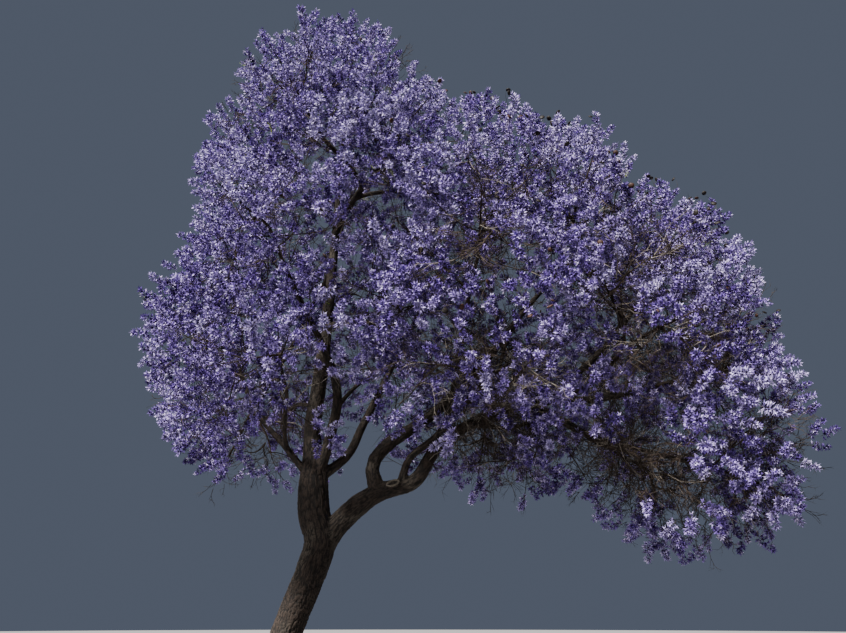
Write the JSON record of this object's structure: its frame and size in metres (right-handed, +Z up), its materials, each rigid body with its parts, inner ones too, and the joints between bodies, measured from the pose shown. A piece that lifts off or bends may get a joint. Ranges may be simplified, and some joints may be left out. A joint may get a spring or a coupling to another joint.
{
  "type": "jacaranda tree",
  "caption": "Whole jacaranda tree in full blossom: a leaning trunk forks low into leaders and boughs that carry a wide, lopsided crown of lilac panicles.",
  "frame": {"origin": "the centre of the flat cut under the trunk, at ground level", "axes": "+Z is up, +X is the side that the trunk leans and the long low arm reaches to, and -Y faces the viewer of the picture"},
  "size_m": [11.1725, 7.5928, 12.853],
  "materials": {
    "bark": "matt, dark grey-brown, finely fissured along the limb",
    "blossom": "soft, thin petals of lilac-blue, darker inside the flowers"
  },
  "bodies": {
    "root": {"bough_01": "bark", "bough_02": "bark", "bough_03": "bark", "bough_04": "bark", "bough_05": "bark", "bough_06": "bark", "bough_07": "bark", "bough_08": "bark", "bough_09": "bark", "bough_10": "bark", "bough_11": "bark", "bough_12": "bark", "bough_13": "bark", "bough_14": "bark", "bough_15": "bark", "bough_16": "bark", "bough_17": "bark", "bough_18": "bark", "bough_19": "bark", "bough_20": "bark", "bough_21": "bark", "bough_22": "bark", "bough_23": "bark", "bough_24": "bark", "bough_25": "bark", "bough_26": "bark", "bough_27": "bark", "leader_left": "bark", "leader_right": "bark", "trunk": "bark", "mass_01": "blossom", "mass_02": "blossom", "mass_03": "blossom", "mass_04": "blossom", "mass_05": "blossom", "mass_06": "blossom", "mass_07": "blossom", "mass_08": "blossom", "mass_09": "blossom", "mass_10": "blossom", "mass_11": "blossom", "mass_12": "blossom", "mass_13": "blossom", "mass_14": "blossom", "mass_15": "blossom", "mass_16": "blossom", "mass_17": "blossom", "mass_18": "blossom", "mass_19": "blossom", "mass_20": "blossom", "mass_21": "blossom", "mass_22": "blossom", "mass_23": "blossom", "mass_24": "blossom", "mass_25": "blossom", "mass_26": "blossom", "mass_27": "blossom", "mass_28": "blossom", "mass_29": "blossom"}
  },
  "joints": []
}
